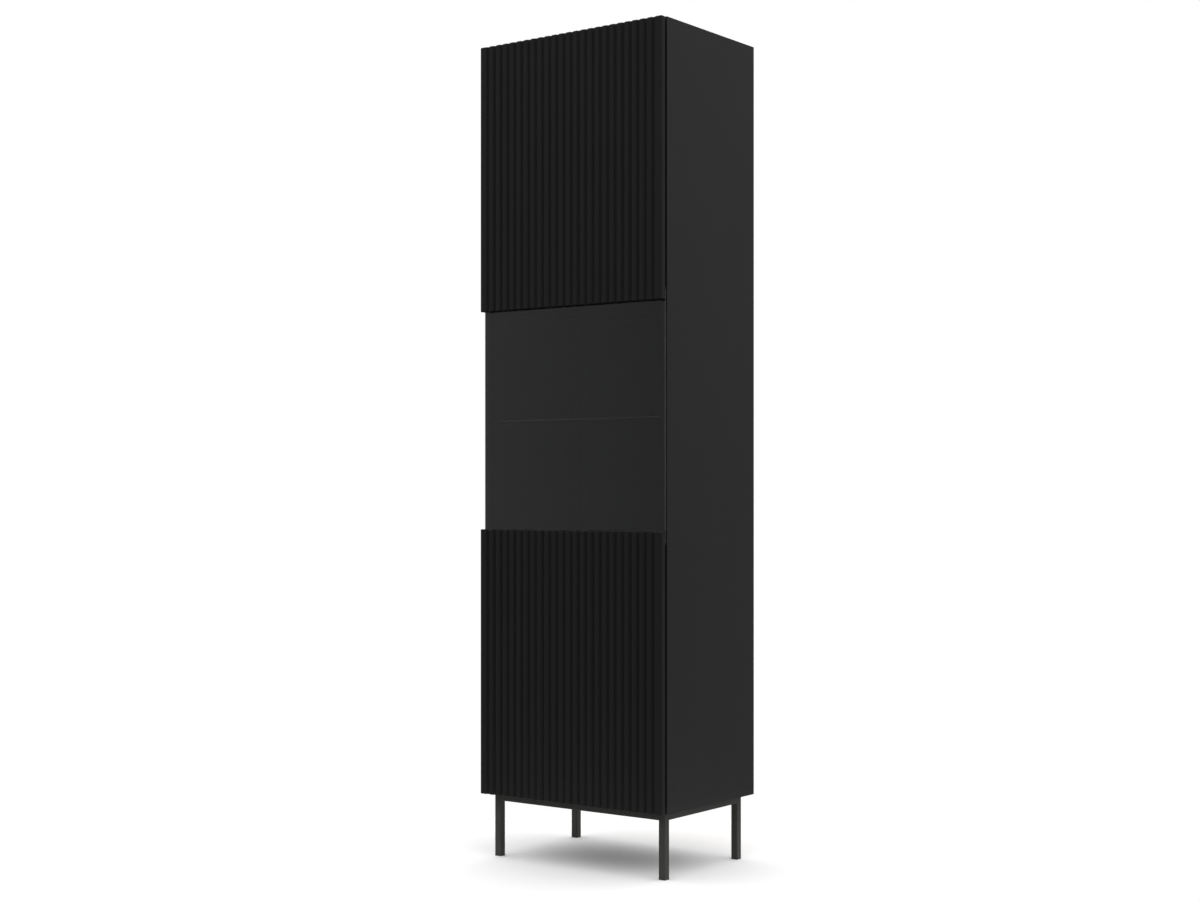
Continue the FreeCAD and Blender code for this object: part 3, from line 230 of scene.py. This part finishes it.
def melamine(name, thickness_axis, value=0.0098):
    """Matt black melamine board: pearl texture on the faces, smoother band on the edges."""
    p = Paint(name)
    p.set(Specular_IOR_Level=0.2)
    cloud = p.noise(2.3, detail=3.0, rough=0.6)
    mottle = p.noise(90.0)
    tone = p.maths("ADD", p.maths("MULTIPLY", cloud, 0.6), p.maths("MULTIPLY", mottle, 0.4))
    face = p.blend(p.spread(tone, *NOISE_RANGE), shade(value * 0.96),
                   shade(value * 1.04, (1, 1, 1.02)))
    edge = p.spread(p.maths("ABSOLUTE", p.facing(thickness_axis)), 0.9, 0.3)
    color = p.blend(edge, face, shade(value * 1.02))
    grain = p.noise(1500.0, detail=3.0, rough=0.6)
    smears = p.noise(7.0, detail=4.0, rough=0.6, stretch=(1, 1, 0.35))
    rough = p.maths("SUBTRACT", p.spread(smears, *NOISE_RANGE, 0.49, 0.52),
                    p.maths("MULTIPLY", edge, 0.08))
    height = p.maths("MULTIPLY", grain, p.maths("SUBTRACT", 1.0, p.maths("MULTIPLY", edge, 0.8)))
    return p.finish(color, rough, p.bump(height, strength=0.12, distance=0.15 * MM))


def ribbed_foil(name, value=0.0066):
    """Matt black foil over milled fibreboard: fine velvet grain, faint streaks along the ribs."""
    p = Paint(name)
    p.set(Specular_IOR_Level=0.17)
    streak = p.noise(60.0, stretch=(1, 1, 0.02))
    cloud = p.noise(3.0, detail=3.0, rough=0.6)
    tone = p.maths("ADD", p.maths("MULTIPLY", streak, 0.5), p.maths("MULTIPLY", cloud, 0.5))
    color = p.blend(p.spread(tone, 0.35, 0.65), shade(value * 0.94), shade(value * 1.06))
    rough = p.spread(cloud, *NOISE_RANGE, 0.5, 0.6)
    grain = p.noise(1800.0, detail=3.0, rough=0.65)
    return p.finish(color, rough, p.bump(grain, strength=0.1, distance=0.12 * MM))


def hardboard(name):
    """Thin hardboard: bare brown fibres behind, a black painted face inside."""
    p = Paint(name)
    p.set(Specular_IOR_Level=0.3)
    fibres = p.noise(420.0, detail=6.0, rough=0.72, stretch=(1, 1, 0.45))
    flecks = p.cells(650.0, stretch=(1, 1, 0.4))
    wires = [p.maths("SINE", p.maths("MULTIPLY", p.along(axis), SCREEN_RATE)) for axis in "XZ"]
    screen = p.maths("MULTIPLY", *wires)
    brown = p.blend(p.spread(fibres, 0.3, 0.72), (0.15, 0.085, 0.043), (0.29, 0.18, 0.1))
    brown = p.blend(p.spread(flecks, 0.05, 0.25), (0.11, 0.062, 0.032), brown)
    behind = p.spread(p.facing("Y"), 0.0, 0.5)
    color = p.blend(behind, shade(0.012), brown)
    rough = p.spread(fibres, *NOISE_RANGE, 0.55, 0.75)
    height = p.maths("ADD", fibres, p.maths("MULTIPLY", p.maths("MULTIPLY", screen, behind), 0.35))
    return p.finish(color, rough, p.bump(height, strength=0.2, distance=0.15 * MM))


def tinted_glass(name, clear, thickness, thickness_axis, frost=0.0):
    """Sheet glass tinted through its depth, with a breath of dust on it and ground edges."""
    p = Paint(name)
    p.set(Transmission_Weight=1.0, IOR=1.5)
    edge = p.spread(p.maths("ABSOLUTE", p.facing(thickness_axis)), 0.55, 0.25)
    dust = p.spread(p.noise(9.0, detail=5.0, rough=0.65), 0.45, 0.8)
    color = p.blend(edge, p.blend(dust, shade(1.0), shade(0.98)), shade(0.28))
    rough = p.maths("MULTIPLY", edge, 0.2)
    if frost:
        p.set(Transmission_Weight=p.maths("SUBTRACT", 1.0, p.maths("MULTIPLY", edge, frost)))
    depth = p.node("ShaderNodeVolumeAbsorption")
    p.feed(depth.inputs["Color"], (0.0, 0.02, 0.05))
    p.feed(depth.inputs["Density"], -math.log(clear) / thickness)
    p.feed(p.tree.nodes["Material Output"].inputs["Volume"], depth.outputs["Volume"])
    return p.finish(color, rough)


def powder_coat(name, value=0.0395):
    """Black powder coat: fine orange peel and the odd speck."""
    p = Paint(name)
    p.set(Specular_IOR_Level=0.16)
    peel = p.noise(750.0, rough=0.55)
    speck = p.cells(520.0)
    cloud = p.noise(14.0, detail=3.0, rough=0.6)
    warm = (1.0, 0.985, 0.9)
    color = p.blend(p.spread(cloud, *NOISE_RANGE), shade(value * 0.92, warm),
                    shade(value * 1.1, warm))
    color = p.blend(p.spread(speck, 0.03, 0.1), shade(value * 1.35, warm), color)
    rough = p.spread(peel, *NOISE_RANGE, 0.42, 0.54)
    return p.finish(color, rough, p.bump(peel, strength=0.3, distance=0.25 * MM))


def moulded(name, value, rough=0.45):
    """Moulded plastic with a spark-eroded texture."""
    p = Paint(name)
    p.set(Specular_IOR_Level=0.4)
    spark = p.noise(2200.0, rough=0.7)
    flow = p.noise(60.0, detail=3.0, rough=0.6)
    color = p.blend(p.spread(flow, *NOISE_RANGE), shade(value * 0.9), shade(value * 1.1))
    finish = p.spread(flow, *NOISE_RANGE, rough - 0.05, rough + 0.07)
    return p.finish(color, finish, p.bump(spark, strength=0.25, distance=0.08 * MM))


def plated(name, color, rough, worn=(0.35, 0.33, 0.3), stretch=(1, 1, 0.05)):
    """Plated steel: rolled streaks, passivation stains and fine scratches."""
    p = Paint(name)
    p.set(Metallic=1.0)
    streak = p.noise(900.0, detail=3.0, rough=0.6, stretch=stretch)
    stain = p.noise(130.0, detail=4.0, rough=0.65)
    tone = p.blend(p.spread(stain, 0.55, 0.8), color, worn)
    finish = p.spread(streak, *NOISE_RANGE, rough - 0.07, rough + 0.09)
    return p.finish(tone, finish, p.bump(streak, strength=0.12, distance=0.05 * MM))


def coated_steel(name, value=0.022):
    """Black e-coated steel, a little glossier than powder coat, with rubbed highlights."""
    p = Paint(name)
    p.set(Specular_IOR_Level=0.5)
    rub = p.noise(220.0, detail=4.0, rough=0.65)
    color = p.blend(p.spread(rub, 0.5, 0.75), shade(value), shade(value * 1.8, (1, 1, 1.05)))
    rough = p.spread(rub, 0.3, 0.75, 0.3, 0.42)
    return p.finish(color, rough, p.bump(rub, strength=0.1, distance=0.05 * MM))


def beech(name):
    """Bare beech: long grain along X with short dark flecks."""
    p = Paint(name)
    p.set(Specular_IOR_Level=0.35)
    grain = p.noise(900.0, detail=4.0, rough=0.6, stretch=(0.06, 1, 1))
    fleck = p.cells(1100.0, stretch=(0.2, 1, 1))
    color = p.blend(p.spread(grain, *NOISE_RANGE), (0.47, 0.29, 0.15), (0.63, 0.43, 0.25))
    color = p.blend(p.spread(fleck, 0.04, 0.12), (0.3, 0.17, 0.08), color)
    rough = p.spread(grain, *NOISE_RANGE, 0.55, 0.7)
    return p.finish(color, rough, p.bump(grain, strength=0.2, distance=0.1 * MM))


def studio_floor(name):
    """White paper that fades into the white backdrop towards its rim."""
    p = Paint(name)
    p.set(Specular_IOR_Level=0.0, Roughness=0.95)
    fibre = p.noise(35.0, detail=3.0, rough=0.6)
    reach = p.node("ShaderNodeVectorMath", operation="LENGTH")
    p.feed(reach.inputs[0], p.coords.outputs["Object"])
    p.set(Alpha=p.spread(reach.outputs["Value"], FLOOR_FADE, FLOOR_RADIUS, 1.0, 0.0))
    return p.finish(p.blend(p.spread(fibre, *NOISE_RANGE), shade(0.945), shade(0.955)))


def size_along(name, axis):
    """A node's size along one axis."""
    low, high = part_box(name)
    return high[axis] - low[axis]


def paint_nodes():
    """Give every CAD node its material; boards get one that knows which way they are thick."""
    black = {axis: melamine("melamine_" + axis.lower(), axis) for axis in "XZ"}
    coat = powder_coat("powder_coat")
    finishes = {
        "ribbed_front": ribbed_foil("ribbed_foil"),
        "hardboard": hardboard("hardboard"),
        "smoked_glass": tinted_glass("smoked_glass", DOOR_CLEAR, size_along("door_glass", 1), "Y"),
        "shelf_glass": tinted_glass("shelf_glass", SHELF_CLEAR, size_along("glass_shelf", 2), "Z",
                                    frost=SHELF_FROST),
        "frame_steel": coat,
        "black_plastic": moulded("black_plastic", 0.016),
        "grey_plastic": moulded("grey_plastic", 0.28),
        "hinge_steel": coated_steel("hinge_coat"),
        "retainer_steel": coated_steel("retainer_coat", 0.018),
        "zinc_steel": plated("zinc_plate", (0.55, 0.56, 0.57), 0.36),
        "cam_zinc": plated("die_cast", (0.1, 0.1, 0.105), 0.5, worn=(0.16, 0.16, 0.165),
                           stretch=(1, 1, 1)),
        "pin_nickel": plated("nickel", (0.045, 0.044, 0.043), 0.4, worn=(0.1, 0.1, 0.1)),
        "beech": beech("beech"),
    }
    for row in frame["record"]["subparts"]:
        name, slot_name = row["node"], row["material_slot"]
        if slot_name == "black_board":
            material = black["X" if name.startswith("side_panel") else "Z"]
        else:
            material = finishes[slot_name]
        mesh = NODES[name].data
        mesh.materials.clear()
        mesh.materials.append(material)
    return coat


# ---------------------------------------------------------------- edges of the CAD nodes

def soften(name, width, segments):
    """Round a node's sharp edges a little, without changing its mesh."""
    obj = NODES[name]
    weld = obj.modifiers.new("weld", "WELD")
    weld.merge_threshold = MERGE_DISTANCE
    flat = obj.modifiers.new("flat", "DECIMATE")
    flat.decimate_type = "DISSOLVE"
    flat.angle_limit = FLAT_ANGLE
    bevel = obj.modifiers.new("bevel", "BEVEL")
    bevel.width = width
    bevel.segments = segments
    bevel.limit_method = "ANGLE"
    bevel.angle_limit = SHARP_ANGLE
    bevel.miter_outer = "MITER_ARC"


# ---------------------------------------------------------------- extra pieces

def bead(mesh, start, end, out, width, height, ripples):
    """A weld bead from start to end: a low rippled ridge that stands out from the surface."""
    start, end, out = Vector(start), Vector(end), Vector(out).normalized()
    along = (end - start).normalized()
    side = along.cross(out)
    rings = ripples * BEAD_RINGS
    rows = []
    for ring in range(rings + 1):
        t = ring / rings
        inside = 0 < t < 1
        taper = min(1.0, BEAD_END_RATE * t, BEAD_END_RATE * (1 - t)) ** 0.5 if inside else BEAD_END
        wave = (1 - BEAD_RIPPLE + BEAD_RIPPLE * abs(math.sin(math.pi * ripples * t))
                + random.uniform(-BEAD_UNEVEN, BEAD_UNEVEN))
        middle = start.lerp(end, t)
        row = []
        for step in range(BEAD_ARC):
            angle = math.pi * step / (BEAD_ARC - 1)
            spot = (middle + side * (math.cos(angle) * width / 2 * taper * wave)
                    + out * (math.sin(angle) * height * taper * wave - BEAD_SINK))
            row.append(mesh.verts.new(spot))
        rows.append(row)
    for first, second in zip(rows, rows[1:]):
        for step in range(BEAD_ARC):
            nxt = (step + 1) % BEAD_ARC
            mesh.faces.new((first[step], first[nxt], second[nxt], second[step]))
    mesh.faces.new(list(reversed(rows[0])))
    mesh.faces.new(rows[-1])


def add_object(name, mesh, material):
    """Turn a bmesh into an object of the scene."""
    data = bpy.data.meshes.new(name)
    mesh.to_mesh(data)
    mesh.free()
    data.materials.append(material)
    made = bpy.data.objects.new(name, data)
    bpy.context.scene.collection.objects.link(made)
    return made


def weld_beads(coat):
    """Beads over the butt joints of the leg frame, inside and below, and along the tabs."""
    mesh = bmesh.new()
    for rail, across in (("rail_front", 0), ("rail_rear", 0), ("rail_left", 1), ("rail_right", 1)):
        low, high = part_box(rail)
        other = 1 - across
        middle = (cad_low[other] + cad_high[other]) / 2
        inner = high[other] if high[other] < middle else low[other]
        inward = 1 if inner < middle else -1
        for end in (low[across], high[across]):
            foot, top, out = [0, 0, low[2] + WALL_INSET], [0, 0, high[2] - WALL_INSET], [0, 0, 0]
            for point in (foot, top):
                point[across], point[other] = end, inner
            out[other] = inward
            bead(mesh, foot, top, out, *JOINT_BEAD)
            near, far = [0, 0, low[2]], [0, 0, low[2]]
            near[across] = far[across] = end
            near[other], far[other] = low[other] + WALL_INSET, high[other] - WALL_INSET
            bead(mesh, near, far, (0, 0, -1), *JOINT_BEAD)
    tab_low, tab_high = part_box("frame_tabs")
    for x, lean in ((tab_low[0], 1), (tab_high[0], -1)):
        for y in (tab_low[1] + TAB_BEAD_INSET, tab_high[1] - TAB_BEAD_INSET):
            bead(mesh, (x, y - TAB_BEAD_HALF, tab_low[2]), (x, y + TAB_BEAD_HALF, tab_low[2]),
                 (lean, 0, -1), *TAB_BEAD)
    bmesh.ops.recalc_face_normals(mesh, faces=mesh.faces)
    piece = add_object("weld_beads", mesh, coat)
    for face in piece.data.polygons:
        face.use_smooth = True
    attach(piece, "root")


# ---------------------------------------------------------------- studio

def lay_floor():
    """A small white floor."""
    mesh = bmesh.new()
    bmesh.ops.create_circle(mesh, cap_ends=True, segments=FLOOR_CORNERS, radius=FLOOR_RADIUS)
    floor = add_object("studio_floor", mesh, studio_floor("paper"))


def light_sky():
    """Radiance by direction: bright overhead, dim in front of the door, white to the camera."""
    world = bpy.data.worlds.new("studio")
    world.use_nodes = True
    bpy.context.scene.world = world
    n = Nodes(world.node_tree)
    split = n.node("ShaderNodeSeparateXYZ")
    n.feed(split.inputs["Vector"], n.node("ShaderNodeTexCoord").outputs["Generated"])
    x, y, z = split.outputs
    turn = n.maths("ARCTAN2", n.maths("ABSOLUTE", x), n.maths("MULTIPLY", y, -1.0))
    around = n.spread(turn, *map(math.radians, FRONT_EDGES), *FRONT_TO_SIDE)
    behind = n.spread(turn, *map(math.radians, REAR_EDGES), 1.0, REAR_SHARE)
    above = n.spread(z, *ZENITH_HEIGHTS, n.maths("MULTIPLY", around, behind), ZENITH)
    dome = n.maths("MULTIPLY", above, n.spread(z, *NADIR_HEIGHTS, NADIR, 1.0))
    seen = n.node("ShaderNodeLightPath").outputs["Is Camera Ray"]
    radiance = n.maths("ADD", n.maths("MULTIPLY", dome, n.maths("SUBTRACT", 1.0, seen)), seen)
    background = n.tree.nodes["Background"]
    n.feed(background.inputs["Color"], (1.0, 1.0, 1.0))
    n.feed(background.inputs["Strength"], radiance)
    bpy.context.scene.view_settings.view_transform = "Standard"


def place_camera():
    """A camera at the photograph's viewing angle."""
    camera = bpy.data.objects.new("camera", bpy.data.cameras.new("camera"))
    bpy.context.scene.collection.objects.link(camera)
    camera.location = CAMERA_PLACE
    camera.rotation_euler = (math.radians(90), 0, math.radians(CAMERA_AZIMUTH))
    camera.data.lens = CAMERA_LENS
    camera.data.shift_y = CAMERA_SHIFT
    bpy.context.scene.camera = camera


coat = paint_nodes()
for width, segments, names in EDGE_LOOKS:
    for name in names:
        soften(name, width, segments)
weld_beads(coat)
lay_floor()
light_sky()
place_camera()
